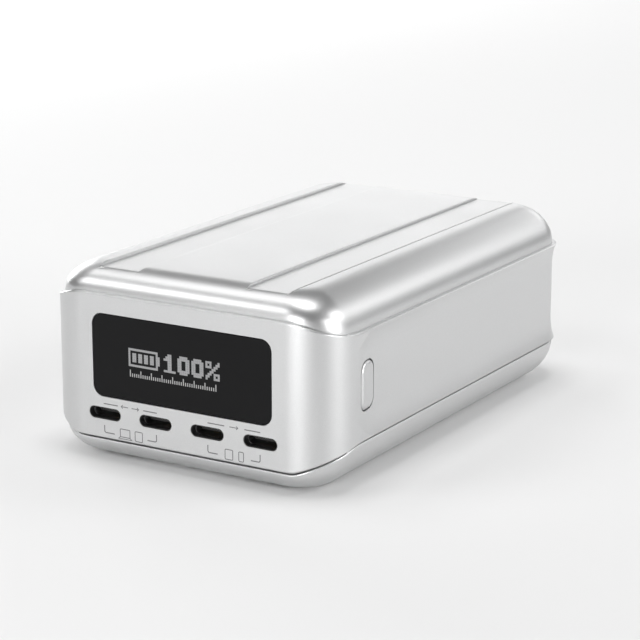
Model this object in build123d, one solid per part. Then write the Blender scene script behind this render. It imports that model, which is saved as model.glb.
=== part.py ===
from build123d import *
import math
import os

os.makedirs("parts", exist_ok=True)

# ---------------------------------------------------------------- driving dimensions (mm)
# Frame: +Z up, front (ports and display) towards -Y, power button on the +X side,
# origin at the centre of the underside.
LENGTH = 127.0          # front to rear, along Y
WIDTH = 80.0            # along X
HEIGHT = 46.7           # along Z
CORNER_R = 11.4         # plan radius of the four vertical corners

# casing seams: the middle frame stands taller at the front than at the sides
TOP_SIDE_RISE = 9.7     # depth of the top shell below its flat face, at the sides and rear
TOP_FRONT_RISE = 5.7    # the same at the front
BOTTOM_SIDE_RISE = 10.7
BOTTOM_FRONT_RISE = 5.6
RAMP_START = 5.0        # where the seam changes height, in degrees round a front corner; past 90
RAMP_END = 115.0        # it runs on along the side at the same rate
RAMP_EASE = 0.7         # below 1 the seam drops earlier and settles slowly

SHELL_WALL = 1.8
TOP_INSET = 1.1         # how far the top shell's edge stands inside the frame's edge
BOTTOM_INSET = 0.6      # the same at the bottom shell, so that its lip shows from above
SIDE_ROUND = 10.5       # plan width of the shell's rounding at the sides
END_ROUND = 8.0         # the same at the front and rear
CORNER_KEEP = 0.75      # share of the rounding by which the corner radius shrinks
TOP_GAP = 0.1           # open seam between the frame and the top shell
BOTTOM_GAP = 0.5        # the same at the bottom shell
EDGE_ROUND = 0.55       # small rounding on the frame's rims
LIP_ROUND = 0.35        # small rounding on each shell's lower edge
SKIRT_WALL = 1.2        # tongue of each shell that plugs into the frame
SKIRT_DEPTH = 2.4
SKIRT_GAP = 0.15

CHANNEL_IN = 15.0       # half width of the centre panel between the two channels
CHANNEL_OUT = 26.2      # half width across both channels
CHANNEL_DEPTH = 0.6
CHANNEL_ROUND = 0.25
GROOVE_W = 0.3          # fine line beside each channel, on its outer side
GROOVE_DEPTH = 0.25
GROOVE_GAP = 0.35       # from the channel's wall to the line

FRAME_WALL = 2.6
WAIST = 1.0             # how far the sides and rear are drawn in at mid height
WAIST_TOP = 5.3         # height over which the waist flares out to the top rim
WAIST_BOTTOM = 6.6
WAIST_RUNOUT = 14.0     # length over which the waist fades out towards the front corners

# display
WINDOW_W = 50.0
WINDOW_H = 20.5
WINDOW_R = 2.9
WINDOW_Z = 26.2
WINDOW_THICK = 1.1
WINDOW_GAP = 0.1
WINDOW_RECESS = 0.05
PANEL_THICK = 1.0
DRIVER_THICK = 0.55
TAPE_THICK = 0.1
SIGHT_W = 46.0          # clear opening behind the window
SIGHT_H = 17.0

# USB-C sockets
PORTS = 4
PORT_PITCH = 14.53
PORT_Z = 11.8
PORT_HOLE_W = 9.2
PORT_HOLE_H = 3.0
BUSHING_WALL = 0.25
PORT_WALL = 1.7         # frame thickness in front of the sockets
TRIM_TOP = 15.0
USB_W = 8.94
USB_H = 3.16
USB_WALL = 0.3
USB_LENGTH = 7.3
TONGUE_W = 6.69
TONGUE_H = 0.7
TONGUE_SETBACK = 1.1
USB_FEET = (2.2, 5.6)     # distance of the solder feet behind the rim

# power button
BUTTON_Y = -45.35
BUTTON_Z = 23.6
BUTTON_W = 6.8
BUTTON_H = 11.5
BUTTON_R = 2.5          # corner radius of the cap, seen from the side
BUTTON_GAP = 0.3
BUTTON_ROUND = 0.9      # rounding of the cap's outer edge
BUTTON_PROUD = 0.35     # how far the cap stands out of the frame
BUTTON_TRAVEL = 0.3

# cells, two layers of four, lying across the case
CELL_R = 9.2
CELL_LENGTH = 65.2
CELL_PITCH = 18.9
CELL_ROWS = 4
FIRST_ROW_Y = -8.65
HOLDER_DEPTH = 10.0

# boards and what they carry
BOARD_THICK = 1.6
BOARD_TOP = PORT_Z - USB_H / 2
BOARD_HALF_W = 34.6
BOARD_GAP = 0.02        # clearance of a socket's rim behind the front wall
INDUCTOR = 10.4
INDUCTOR_Y = -42.0
INDUCTOR_SPREAD = 0.86  # inductors sit a little closer together than the sockets
CAPACITOR_R = 3.15
CAPACITOR_H = 8.4
CAPACITOR_Y = -31.5
CAPACITOR_PITCH = 9.5
CHIP_H = 0.9
HEAT_PAD_H = 1.2
PLATE_H = 1.2
FIN_PITCH = 4.5
LEAD_D = 2.4
POST_HOLE_R = 0.7
SCREW_R = 0.65

# values worked out from the dimensions above
HALF_W = WIDTH / 2
HALF_L = LENGTH / 2
MID_Z = HEIGHT / 2
ARC_X = HALF_W - CORNER_R
ARC_Y = -HALF_L + CORNER_R
TOP_SIDE_SEAM = HEIGHT - TOP_SIDE_RISE
TOP_FRONT_SEAM = HEIGHT - TOP_FRONT_RISE
FAR = 60.0              # reach of cutting tools past the case
FRONT = -HALF_L
FRONT_INNER = FRONT + FRAME_WALL
RAMP_RUN = math.radians(RAMP_END - 90) * CORNER_R


def block(x0, x1, y0, y1, z0, z1):
    """Box between two opposite corners."""
    size = (x1 - x0, y1 - y0, z1 - z0)
    return Pos((x0 + x1) / 2, (y0 + y1) / 2, (z0 + z1) / 2) * Box(*size)


def plate_xz(shape, y, thick):
    """Sketch drawn on the front plane (X to the right, Z up), grown from y towards the rear."""
    return extrude(Plane((0, y, 0), x_dir=(1, 0, 0), z_dir=(0, -1, 0)) * shape, -thick)


def plate_yz(shape, x, thick):
    """Sketch drawn on a side plane (Y to the right, Z up), grown from x towards the outside."""
    return extrude(Plane((x, 0, 0), x_dir=(0, 1, 0), z_dir=(1, 0, 0)) * shape, thick)


def slot_shape(width, height):
    """Stadium with its long way along the first axis."""
    return RectangleRounded(width, height, height / 2 - 0.001)


def outline(inset):
    """Plan outline of the case, moved inwards."""
    return RectangleRounded(WIDTH - 2 * inset, LENGTH - 2 * inset, CORNER_R - inset)


def column(inset):
    """Tall prism on the plan outline, reaching well past the case up and down."""
    return extrude(outline(inset), 0.8 * FAR, both=True)


def ring(inset, wall, z0, z1):
    """Upright wall that follows the plan outline."""
    band = outline(inset) - outline(inset + wall)
    return Pos(0, 0, z0) * extrude(band, z1 - z0)


# ---------------------------------------------------------------- seam between frame and shells
def seam_height(angle, front_z, side_z):
    """Height of the seam at an angle round a front corner, and past 90 on along the side."""
    t = min(max((angle - RAMP_START) / (RAMP_END - RAMP_START), 0), 1) ** RAMP_EASE
    return front_z + (side_z - front_z) * t * t * (3 - 2 * t)


def seam_slope(front_z, side_z):
    """Change of the seam's height per radian where the corner meets the side."""
    return (seam_height(91, front_z, side_z) - seam_height(89, front_z, side_z)) / math.radians(2)


def ramp_curve(radius, front_z, side_z):
    """The seam round the front right corner, at one radius from the corner's centre."""
    points = []
    steps = 10
    for i in range(steps + 1):
        a = math.radians(90 * i / steps)
        z = seam_height(90 * i / steps, front_z, side_z)
        points.append((ARC_X + radius * math.sin(a), ARC_Y - radius * math.cos(a), z))
    return Spline(*points, tangents=((1, 0, 0), (0, radius, seam_slope(front_z, side_z))))


def ramp_run(x, front_z, side_z):
    """The seam's last stretch of changing height, straight along the right side."""
    points = []
    steps = 4
    for i in range(steps + 1):
        z = seam_height(90 + (RAMP_END - 90) * i / steps, front_z, side_z)
        points.append((x, ARC_Y + RAMP_RUN * i / steps, z))
    return Spline(*points, tangents=((0, CORNER_R, seam_slope(front_z, side_z)), (0, 1, 0)))


def beyond_seam(front_z, side_z, way):
    """Everything near the case's walls that lies beyond a seam: way is 1 for above, -1 for below."""
    near, far = 2.0, CORNER_R + 4
    pairs = (
        (ramp_curve(near, front_z, side_z), ramp_curve(far, front_z, side_z)),
        (ramp_run(ARC_X + near, front_z, side_z), ramp_run(ARC_X + far, front_z, side_z)),
    )
    bend = None
    for inner, outer in pairs:
        surface = Face.make_surface_from_curves(inner.edge(), outer.edge())
        part = extrude(surface, FAR, dir=(0, 0, way))
        bend = part if bend is None else bend + part
    far_front = sorted((front_z, front_z + way * FAR))
    far_side = sorted((side_z, side_z + way * FAR))
    front = block(-ARC_X, ARC_X, FRONT - 4, ARC_Y, *far_front)
    sides = block(-HALF_W - 4, HALF_W + 4, ARC_Y + RAMP_RUN, HALF_L + 4, *far_side)
    return front + sides + bend + mirror(bend, about=Plane.YZ)


def rim_curves(inset, front_z, side_z):
    """Half of a level line along the case's wall, from the middle of the front to the middle of the rear."""
    right = HALF_W - inset
    front = inset - HALF_L
    radius = CORNER_R - inset
    return [
        Line((0, front, front_z), (ARC_X, front, front_z)),
        ramp_curve(radius, front_z, side_z),
        ramp_run(right, front_z, side_z),
        Line((right, ARC_Y + RAMP_RUN, side_z), (right, -ARC_Y, side_z)),
        CenterArc((ARC_X, -ARC_Y, side_z), radius, 0, 90),
        Line((ARC_X, -front, side_z), (0, -front, side_z)),
    ]


def rim_rounding(front_z, side_z, way, edge_inset, radius):
    """Tool that rounds a rim. way is 1 for a rim that faces up and -1 for one that faces down."""
    strips = 3
    past = 0.03
    lines = []
    for k in range(strips + 1):
        a = math.radians(90 * k / strips)
        inset = edge_inset + radius - (radius + past) * math.sin(a)
        drop = way * radius * (1 - math.cos(a))
        lines.append(rim_curves(inset, front_z - drop, side_z - drop))
    tool = None
    for inner, outer in zip(lines, lines[1:]):
        for a, b in zip(inner, outer):
            strip = extrude(Face.make_surface_from_curves(a.edge(), b.edge()), 1.5, dir=(0, 0, way))
            tool = strip if tool is None else tool + strip
    return tool + mirror(tool, about=Plane.YZ)


# ---------------------------------------------------------------- shells
def shell_ring(turn, side_rise, front_rise, inset, wall):
    """One level outline of a shell's dome. turn runs from 0 at the seam to 90 at the flat face."""
    a = math.radians(turn)
    z = -side_rise + (side_rise - wall) * math.sin(a)
    draw_in = 1 - math.cos(a)
    side = inset + SIDE_ROUND * draw_in
    rear = inset + END_ROUND * draw_in
    lift = max(z + front_rise, 0) / (front_rise - wall)
    front = inset + END_ROUND * (1 - math.sqrt(max(1 - lift * lift, 0)))
    radius = CORNER_R - inset - CORNER_KEEP * END_ROUND * draw_in
    shape = RectangleRounded(WIDTH - 2 * side, LENGTH - front - rear, radius)
    return Pos(0, (front - rear) / 2, z) * shape


def dome(side_rise, front_rise, inset, wall):
    """Solid under a shell's outer face (wall 0) or under its inner face."""
    return loft([shell_ring(turn, side_rise, front_rise, inset, wall) for turn in range(0, 91, 10)])


def channel_cutters():
    """The two straight recesses along the flat face, and the fine line beside each of them."""
    r = CHANNEL_ROUND
    top = 3.0
    with BuildSketch() as profile:
        with BuildLine():
            right = [
                Line((CHANNEL_OUT + r, top), (CHANNEL_OUT + r, 0)),
                JernArc((CHANNEL_OUT + r, 0), (-1, 0), r, 90),
                Line((CHANNEL_OUT, -r), (CHANNEL_OUT, -CHANNEL_DEPTH)),
            ]
            Line(right[2] @ 1, (CHANNEL_IN, -CHANNEL_DEPTH))
            Line((CHANNEL_IN, -CHANNEL_DEPTH), (CHANNEL_IN, -r))
            JernArc((CHANNEL_IN, -r), (0, 1), r, 90)
            Line((CHANNEL_IN - r, 0), (CHANNEL_IN - r, top))
            Line((CHANNEL_IN - r, top), (CHANNEL_OUT + r, top))
        make_face()
    cutter = extrude(Plane.XZ * profile.sketch, LENGTH, both=True)
    groove_x = CHANNEL_OUT + GROOVE_GAP
    cutter += block(groove_x, groove_x + GROOVE_W, -LENGTH, LENGTH, -GROOVE_DEPTH, top)
    return cutter + mirror(cutter, about=Plane.YZ)


def hook_places():
    """Centre and half size of each snap hook on the sides of a skirt."""
    return [(side * (HALF_W - FRAME_WALL - SKIRT_GAP), y) for side in (-1, 1) for y in (-24, 12, 44)]


def shell(side_rise, front_rise, gap, inset):
    """One casing shell with its flat face up at Z 0, standing clear of the frame by the gap."""
    low = -side_rise - 2 * SKIRT_DEPTH
    outer = dome(side_rise, front_rise, inset, 0) + Pos(0, 0, low) * extrude(outline(inset), -side_rise - low)
    inner_wall = TOP_INSET + SHELL_WALL
    cavity = Pos(0, 0, low) * extrude(outline(inner_wall), -side_rise - low)
    cavity += dome(side_rise, front_rise, inner_wall, SHELL_WALL)
    body = outer - cavity
    below = beyond_seam(gap - front_rise, gap - side_rise, -1)
    body -= below
    body -= channel_cutters()
    skirt_inset = FRAME_WALL + SKIRT_GAP
    skirt = ring(skirt_inset, SKIRT_WALL, low, 1.0 - front_rise)
    skirt -= Pos(0, 0, -SKIRT_DEPTH) * below
    hidden = beyond_seam(1.6 - front_rise, 1.6 - side_rise, 1)
    skirt -= hidden
    body -= rim_rounding(gap - front_rise, gap - side_rise, -1, inset, LIP_ROUND)
    body += skirt
    for x, y in hook_places():
        hook = Pos(x, y, -side_rise - SKIRT_DEPTH / 2 - 0.2) * Cylinder(0.4, 8, rotation=(90, 0, 0))
        body += hook
    return body


# ---------------------------------------------------------------- middle frame
def waist_tool():
    """Swept tool that draws in the sides and the rear between the two rims."""
    low = BOTTOM_SIDE_RISE
    high = TOP_SIDE_SEAM
    with BuildSketch() as profile:
        with BuildLine():
            straight = Line((-WAIST, low + WAIST_BOTTOM), (-WAIST, high - WAIST_TOP))
            top_r = WAIST_TOP ** 2 / (2 * WAIST)
            bottom_r = WAIST_BOTTOM ** 2 / (2 * WAIST)
            up = JernArc(straight @ 1, (0, 1), top_r, -30)
            down = JernArc(straight @ 0, (0, -1), bottom_r, 26)
            Polyline(up @ 1, (6, (up @ 1).Y), (6, (down @ 1).Y), down @ 1)
        make_face()
    return profile.sketch


def waist_path():
    """Plan line that the waist follows: along one side, round the rear and back along the other."""
    start_y = ARC_Y - 2.0
    drift = WAIST + 0.1
    half = WAIST_RUNOUT / 2
    bend = (half ** 2 + (drift / 2) ** 2) / drift
    turn = math.degrees(math.asin(half / bend))
    with BuildLine() as path:
        Line((HALF_W + drift, start_y - 12), (HALF_W + drift, start_y))
        ease = JernArc((HALF_W + drift, start_y), (0, 1), bend, turn)
        settle = JernArc(ease @ 1, ease % 1, bend, -turn)
        side = Line(settle @ 1, (HALF_W, HALF_L - CORNER_R))
        JernArc(side @ 1, (0, 1), CORNER_R, 90)
        Line((ARC_X, HALF_L), (0, HALF_L))
        mirror(about=Plane.YZ)
    return path.wire()


def waist():
    """Volume taken off the sides and the rear of the frame."""
    path = waist_path()
    start = path @ 0
    plane = Plane((start.X, start.Y, 0), x_dir=(1, 0, 0), z_dir=(0, -1, 0))
    return sweep(plane * waist_tool(), path=path)


def port_places():
    """Centre of each socket across the front, left to right."""
    return [(i - (PORTS - 1) / 2) * PORT_PITCH for i in range(PORTS)]


def button_shape(grow):
    """Upright rounded outline of the power button, drawn with Y to the right and Z up."""
    size = (BUTTON_W + 2 * grow, BUTTON_H + 2 * grow)
    return Pos(BUTTON_Y, BUTTON_Z) * RectangleRounded(*size, BUTTON_R + grow)


def window_openings():
    """Pocket for the display window, and the sight hole behind it."""
    depth = WINDOW_RECESS + WINDOW_THICK + TAPE_THICK
    pocket = Pos(0, WINDOW_Z) * RectangleRounded(WINDOW_W, WINDOW_H, WINDOW_R)
    sight = Pos(0, WINDOW_Z) * RectangleRounded(SIGHT_W, SIGHT_H, 1.5)
    return plate_xz(pocket, FRONT - 1, 1 + depth) + plate_xz(sight, FRONT - 1, 5)


def port_openings():
    """Socket holes and the shallow recess behind them that takes the black trim."""
    tool = block(-31, 31, FRONT + PORT_WALL, FRONT_INNER + 1, BOARD_TOP - 0.7, TRIM_TOP + 0.2)
    for x in port_places():
        hole = Pos(x, PORT_Z) * slot_shape(PORT_HOLE_W, PORT_HOLE_H)
        tool += plate_xz(hole, FRONT - 1, 5)
    return tool


def hook_pockets():
    """Recesses in the frame's inner wall that the shells' hooks snap into."""
    tool = None
    levels = (TOP_SIDE_SEAM - SKIRT_DEPTH / 2 - 0.2, BOTTOM_SIDE_RISE + SKIRT_DEPTH / 2 + 0.2)
    for x, y in hook_places():
        for z in levels:
            pocket = Pos(x, y, z) * Box(1.3, 8.6, 1.4)
            tool = pocket if tool is None else tool + pocket
    return tool


def post_places():
    """Screw posts of the display module, beside the sight hole."""
    return [(x, z) for x in (-27.2, 27.2) for z in (WINDOW_Z - 6.5, WINDOW_Z + 6.5)]


def display_posts():
    """Four blind posts on the front wall's inner face."""
    posts = None
    wall_y = FRONT_INNER
    for x, z in post_places():
        post = Pos(x, wall_y + 0.9, z) * Cylinder(1.9, 2.2, rotation=(90, 0, 0))
        post -= Pos(x, wall_y + 1.2, z) * Cylinder(POST_HOLE_R, 2.4, rotation=(90, 0, 0))
        posts = post if posts is None else posts + post
    return posts


def mid_frame():
    """The one-piece band between the shells, with the display pocket and socket holes."""
    body = column(0)
    body -= beyond_seam(TOP_FRONT_SEAM, TOP_SIDE_SEAM, 1)
    body -= beyond_seam(BOTTOM_FRONT_RISE, BOTTOM_SIDE_RISE, -1)
    body -= column(FRAME_WALL)
    for front_z, side_z in ((TOP_FRONT_SEAM, TOP_SIDE_SEAM), (BOTTOM_FRONT_RISE, BOTTOM_SIDE_RISE)):
        way = 1 if front_z > MID_Z else -1
        body -= rim_rounding(front_z, side_z, way, 0, EDGE_ROUND)
    body -= waist()
    body -= window_openings()
    body -= port_openings()
    body -= plate_yz(button_shape(BUTTON_GAP), HALF_W - 2 * FRAME_WALL, 4 * FRAME_WALL)
    body -= hook_pockets()
    body += display_posts()
    return body


# ---------------------------------------------------------------- display module
def window_front():
    """Y of the window's outer face."""
    return FRONT + WINDOW_RECESS


def panel_front():
    """Y of the display panel's front face."""
    return window_front() + WINDOW_THICK + TAPE_THICK + WINDOW_RECESS


def display_window():
    """Dark front glass, with a slightly eased front edge."""
    shape = Pos(0, WINDOW_Z) * RectangleRounded(
        WINDOW_W - 2 * WINDOW_GAP, WINDOW_H - 2 * WINDOW_GAP, WINDOW_R - WINDOW_GAP)
    glass = plate_xz(shape, window_front(), WINDOW_THICK)
    return chamfer(glass.faces().sort_by(Axis.Y)[0].edges(), 0.12)


def window_tape():
    """Adhesive ring between the window and the frame's ledge."""
    outer = RectangleRounded(WINDOW_W - 0.4, WINDOW_H - 0.4, WINDOW_R - 0.2)
    inner = RectangleRounded(SIGHT_W + 0.4, SIGHT_H + 0.4, 1.7)
    return plate_xz(Pos(0, WINDOW_Z) * (outer - inner), window_front() + WINDOW_THICK, TAPE_THICK)


def display_panel():
    """Dot matrix panel in the sight hole, with its driver ledge."""
    front = panel_front()
    panel = plate_xz(Pos(0, WINDOW_Z) * Rectangle(SIGHT_W - 1, SIGHT_H - 1), front, PANEL_THICK)
    driver = Pos(-2, WINDOW_Z) * Rectangle(SIGHT_W - 5, SIGHT_H - 1)
    rear = plate_xz(driver, front + PANEL_THICK, DRIVER_THICK)
    return panel + rear


def bracket_front():
    """Y of the display bracket's front face, resting on the posts."""
    return FRONT_INNER + 2.0


def display_bracket():
    """Plate that presses the panel forward, screwed to the four posts."""
    y = bracket_front()
    plate = plate_xz(Pos(0, WINDOW_Z) * RectangleRounded(60, 20, 2), y, 1.2)
    window = plate_xz(Pos(6, WINDOW_Z) * RectangleRounded(22, 8, 1), y - 1, 4)
    plate -= window
    plate += block(-20, -8, panel_front() + PANEL_THICK + DRIVER_THICK, y, WINDOW_Z - 5, WINDOW_Z + 5)
    for x, z in post_places():
        plate -= Pos(x, y, z) * Cylinder(0.85, 6, rotation=(90, 0, 0))
    for x, z in control_post_places():
        plate += Pos(x, y + 2.2, z) * Cylinder(1.6, 2.4, rotation=(90, 0, 0))
        plate -= Pos(x, y + 2.4, z) * Cylinder(POST_HOLE_R, 2.8, rotation=(90, 0, 0))
    return plate


def control_post_places():
    """Posts on the rear of the display bracket that carry the control board."""
    return [(x, WINDOW_Z + 8) for x in (-22, 22)] + [(x, WINDOW_Z - 8) for x in (-22, 22)]


def control_board_y():
    """Y of the control board's front face."""
    return bracket_front() + 3.4


def control_board():
    """Upright board behind the display, with its screw holes."""
    y = control_board_y()
    board = plate_xz(Pos(0, WINDOW_Z) * RectangleRounded(50, 21, 1), y, 1.0)
    for x, z in control_post_places():
        board -= Pos(x, y, z) * Cylinder(0.85, 6, rotation=(90, 0, 0))
    return board


def control_chips():
    """Controller and memory packages on the rear of the control board."""
    y = control_board_y() + 1.0
    chips = [(-8, WINDOW_Z, 7, 7, 0.9), (5, WINDOW_Z + 2, 5, 4, 0.8), (14, WINDOW_Z - 3, 3, 3, 0.7)]
    return Compound(children=[block(x - w / 2, x + w / 2, y, y + t, z - h / 2, z + h / 2)
                              for x, z, w, h, t in chips])


def display_ribbon():
    """Flat flexible lead from the panel's rear, through the bracket, to the control board."""
    front = panel_front() + PANEL_THICK + DRIVER_THICK
    return block(0, 12, front, control_board_y(), WINDOW_Z - 0.1, WINDOW_Z + 0.1)


def board_header():
    """Pin header that joins the main board to the foot of the control board."""
    y = control_board_y() + 1.0
    body = block(-2.6, 2.6, y, y + 2.2, BOARD_TOP, WINDOW_Z - 5)
    for x in (-1.9, -0.63, 0.63, 1.9):
        body -= block(x - 0.25, x + 0.25, y + 1.6, y + 2.4, BOARD_TOP + 1, WINDOW_Z - 6)
    return body


def post_screws(places, y):
    """Small pan head screws driven forward into posts; y is the face under the heads."""
    screws = []
    for x, z in places:
        head = Pos(x, y + 0.4, z) * Cylinder(1.4, 0.8, rotation=(90, 0, 0))
        shank = Pos(x, y - 1.1, z) * Cylinder(SCREW_R, 2.4, rotation=(90, 0, 0))
        drive = Pos(x, y + 0.7, z) * (Box(1.4, 0.5, 0.3) + Box(0.3, 0.5, 1.4))
        screws.append(head + shank - drive)
    return screws


def display_screws():
    """Four screws through the bracket and four through the control board."""
    screws = post_screws(post_places(), bracket_front() + 1.2)
    screws += post_screws(control_post_places(), control_board_y() + 1.0)
    return Compound(children=screws)


# ---------------------------------------------------------------- sockets and main board
def socket_trim():
    """Black strip behind the front wall, with a bushing that lines each socket hole."""
    y = FRONT + PORT_WALL
    trim = block(-30.8, 30.8, y, y + 0.8, BOARD_TOP - 0.5, TRIM_TOP)
    for x in port_places():
        bushing = Pos(x, PORT_Z) * slot_shape(PORT_HOLE_W - 0.06, PORT_HOLE_H - 0.06)
        trim += plate_xz(bushing, FRONT + 0.12, PORT_WALL)
    for x in port_places():
        bore = slot_shape(PORT_HOLE_W - 2 * BUSHING_WALL, PORT_HOLE_H - 2 * BUSHING_WALL)
        trim -= plate_xz(Pos(x, PORT_Z) * bore, FRONT - 1, 6)
        seat = slot_shape(USB_W + 0.1, USB_H + 0.1)
        trim -= plate_xz(Pos(x, PORT_Z) * seat, y, 3)
    return trim


def usb_c_shell(x):
    """Drawn metal shell of one socket, closed at the rear, with solder feet."""
    y = FRONT + PORT_WALL + BOARD_GAP
    outer = Pos(x, PORT_Z) * slot_shape(USB_W, USB_H)
    inner = Pos(x, PORT_Z) * slot_shape(USB_W - 2 * USB_WALL, USB_H - 2 * USB_WALL)
    body = plate_xz(outer, y, USB_LENGTH) - plate_xz(inner, y - 1, USB_LENGTH + 0.6)
    for side in (-1, 1):
        for foot_y in (y + foot for foot in USB_FEET):
            foot_x = x + side * (USB_W / 2 - 0.1)
            body += block(foot_x - 0.15, foot_x + 0.15, foot_y - 0.5, foot_y + 0.5, BOARD_TOP - 1.2, PORT_Z)
    return body


def usb_c_tongue(x):
    """Contact tongue and its moulded base inside one socket."""
    y = FRONT + PORT_WALL + BOARD_GAP
    rear = y + USB_LENGTH - 0.4
    tongue = block(x - TONGUE_W / 2, x + TONGUE_W / 2, y + TONGUE_SETBACK, rear - 1.0,
                   PORT_Z - TONGUE_H / 2, PORT_Z + TONGUE_H / 2)
    tongue = chamfer(tongue.faces().sort_by(Axis.Y)[0].edges(), 0.12)
    base = slot_shape(USB_W - 2 * USB_WALL - 0.04, USB_H - 2 * USB_WALL - 0.04)
    return tongue + plate_xz(Pos(x, PORT_Z) * base, rear - 1.6, 1.6)


def main_board_ends():
    """Front and rear edge of the main board."""
    return FRONT + PORT_WALL + 1.2, FIRST_ROW_Y - CELL_R - 1.6


def board_post_places():
    """Screws that hold the main board to the bottom shell."""
    front, rear = main_board_ends()
    return [(x, y) for x in (-31, 31) for y in (front + 16, rear - 4)]


def main_board():
    """Power board that carries the sockets, with slots for the sockets' feet."""
    front, rear = main_board_ends()
    half = BOARD_HALF_W
    board = block(-half, half, front, rear, BOARD_TOP - BOARD_THICK, BOARD_TOP)
    for side in (-1, 1):
        board -= Pos(side * half, front, BOARD_TOP) * Cylinder(6.5, 6)
    for x in port_places():
        for side in (-1, 1):
            for foot in USB_FEET:
                foot_x = x + side * (USB_W / 2 - 0.1)
                foot_y = FRONT + PORT_WALL + BOARD_GAP + foot
                board -= Pos(foot_x, foot_y, BOARD_TOP) * Box(0.6, 1.3, 6)
    for x, y in board_post_places():
        board -= Pos(x, y, BOARD_TOP) * Cylinder(1.2, 6)
    return board


def board_pillars():
    """Hollow pillars moulded on the bottom shell under the main board."""
    pillars = None
    for x, y in board_post_places():
        top = BOARD_TOP - BOARD_THICK
        pillar = block(x - 2.2, x + 2.2, y - 2.2, y + 2.2, SHELL_WALL - 0.3, top)
        pillar -= Pos(x, y, top) * Cylinder(0.9, 8)
        pillars = pillar if pillars is None else pillars + pillar
    return pillars


def board_screws():
    """Screws through the main board into the bottom shell's pillars."""
    screws = []
    for x, y in board_post_places():
        head = Pos(x, y, BOARD_TOP + 0.5) * Cylinder(1.9, 1.0)
        shank = Pos(x, y, BOARD_TOP - 2.4) * Cylinder(0.85, 4.8)
        drive = Pos(x, y, BOARD_TOP + 0.9) * (Box(2.0, 0.4, 0.6) + Box(0.4, 2.0, 0.6))
        screws.append(head + shank - drive)
    return Compound(children=screws)


def inductor_places():
    """Centre of each power inductor across the board."""
    return [x * INDUCTOR_SPREAD for x in port_places()]


def inductors():
    """Four moulded power inductors, one for each socket."""
    parts = []
    for x in inductor_places():
        body = Pos(x, INDUCTOR_Y, BOARD_TOP + 2.9) * Box(INDUCTOR, INDUCTOR, 5.8)
        body = chamfer(body.edges().filter_by(Axis.Z), 1.2)
        body += Pos(x, INDUCTOR_Y, BOARD_TOP + 3.1) * Cylinder(0.38 * INDUCTOR, 6.2)
        parts.append(body)
    return Compound(children=parts)


def capacitors():
    """Row of round capacitors with grooved cans behind the inductors."""
    groove = Cylinder(CAPACITOR_R + 0.25, 0.5) - Cylinder(CAPACITOR_R - 0.25, 0.5)
    parts = []
    for i in range(-2, 3):
        place = Pos(i * CAPACITOR_PITCH, CAPACITOR_Y, BOARD_TOP)
        can = place * Pos(0, 0, CAPACITOR_H / 2) * Cylinder(CAPACITOR_R, CAPACITOR_H)
        parts.append(can - place * Pos(0, 0, 1.6) * groove)
    return Compound(children=parts)


def power_chips():
    """Converter chips on the underside of the main board."""
    z = BOARD_TOP - BOARD_THICK
    places = [(x, INDUCTOR_Y, 6) for x in inductor_places()] + [(0, CAPACITOR_Y + 2, 7)]
    return Compound(children=[block(x - size / 2, x + size / 2, y - size / 2, y + size / 2, z - CHIP_H, z)
                              for x, y, size in places])


def heat_pad():
    """Thermally conductive pad between the chips and the heat spreader."""
    z = BOARD_TOP - BOARD_THICK - CHIP_H
    return block(-23, 23, INDUCTOR_Y - 3.5, CAPACITOR_Y + 6, z - HEAT_PAD_H, z)


def heat_spreader():
    """Aluminium plate with shallow fins on the floor of the bottom shell."""
    top = BOARD_TOP - BOARD_THICK - CHIP_H - HEAT_PAD_H
    plate = block(-25.5, 25.5, INDUCTOR_Y - 5, CAPACITOR_Y + 7.5, top - PLATE_H, top)
    for i in range(-5, 6):
        x = FIN_PITCH * i
        plate += block(x - 0.6, x + 0.6, INDUCTOR_Y - 4, CAPACITOR_Y + 6.5, top - 2 * PLATE_H, top - PLATE_H)
    return plate


# ---------------------------------------------------------------- power button
def power_button():
    """Button cap that follows the side wall, with an inner flange that keeps it in."""
    wall_in = HALF_W - FRAME_WALL
    cap = plate_yz(button_shape(0), wall_in - 0.6, FRAME_WALL + 2)
    cap -= Pos(BUTTON_PROUD, 0, 0) * waist()
    outer = cap.faces().sort_by(Axis.X)[-1]
    cap = fillet(outer.edges(), BUTTON_ROUND)
    flange = plate_yz(button_shape(1.1), wall_in - 0.9, 0.8)
    nub = Pos(wall_in - 1.1, BUTTON_Y, BUTTON_Z) * Cylinder(1.6, 0.6, rotation=(0, 90, 0))
    return cap + flange + nub


def switch_face():
    """X of the switch plunger's outer end at rest, just clear of the button's nub."""
    return HALF_W - FRAME_WALL - 1.45


def switch_plunger():
    """Moving actuator of the tact switch."""
    face = switch_face()
    stem = Pos(face - 0.35, BUTTON_Y, BUTTON_Z) * Cylinder(1.0, 0.7, rotation=(0, 90, 0))
    collar = Pos(face - 0.95, BUTTON_Y, BUTTON_Z) * Cylinder(1.3, 0.4, rotation=(0, 90, 0))
    return stem + collar + Pos(face - 0.72, BUTTON_Y, BUTTON_Z) * Cylinder(1.0, 0.2, rotation=(0, 90, 0))


def switch_body():
    """Housing of the tact switch around its plunger."""
    face = switch_face() - 0.45
    body = block(face - 1.6, face, BUTTON_Y - 2.6, BUTTON_Y + 2.6, BUTTON_Z - 2.6, BUTTON_Z + 2.6)
    body = chamfer(body.edges().filter_by(Axis.X), 0.5)
    body -= Pos(face, BUTTON_Y, BUTTON_Z) * Cylinder(1.05, 2.0, rotation=(0, 90, 0))
    body -= Pos(face - 0.7, BUTTON_Y, BUTTON_Z) * Cylinder(1.4, 1.2, rotation=(0, 90, 0))
    return body


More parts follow.
